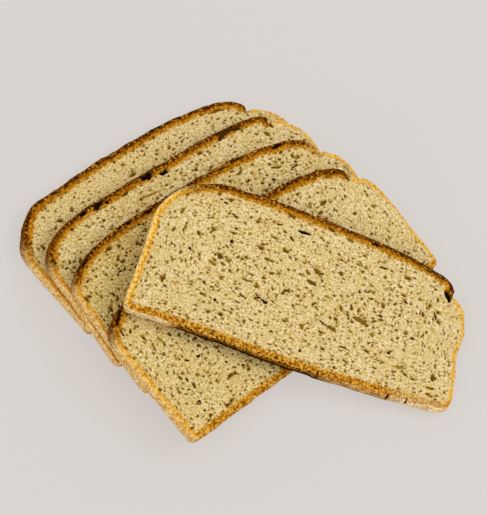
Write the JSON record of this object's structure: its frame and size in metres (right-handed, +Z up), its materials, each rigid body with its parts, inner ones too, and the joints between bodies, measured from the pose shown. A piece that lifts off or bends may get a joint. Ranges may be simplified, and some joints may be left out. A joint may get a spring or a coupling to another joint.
{
  "type": "sliced rye bread loaf",
  "caption": "Tin-baked rye bread cut into thin slices, fanned out and draped over one another, with the last slice lying across the rest.",
  "frame": {"origin": "middle of the pile's bounding box in plan, at the height of the table it lies on", "axes": "+Z up; +X along the front of the pile, towards the far end of the slice laid across; +Y to the back, towards the top crusts' far ends"},
  "size_m": [0.2148, 0.186, 0.0362],
  "materials": {
    "rye_bread": "matt porous crumb with a browned crust"
  },
  "bodies": {
    "root": {"slice_lowest": "rye_bread", "slice_second": "rye_bread", "slice_third": "rye_bread", "slice_fourth": "rye_bread", "slice_across": "rye_bread"}
  },
  "joints": []
}
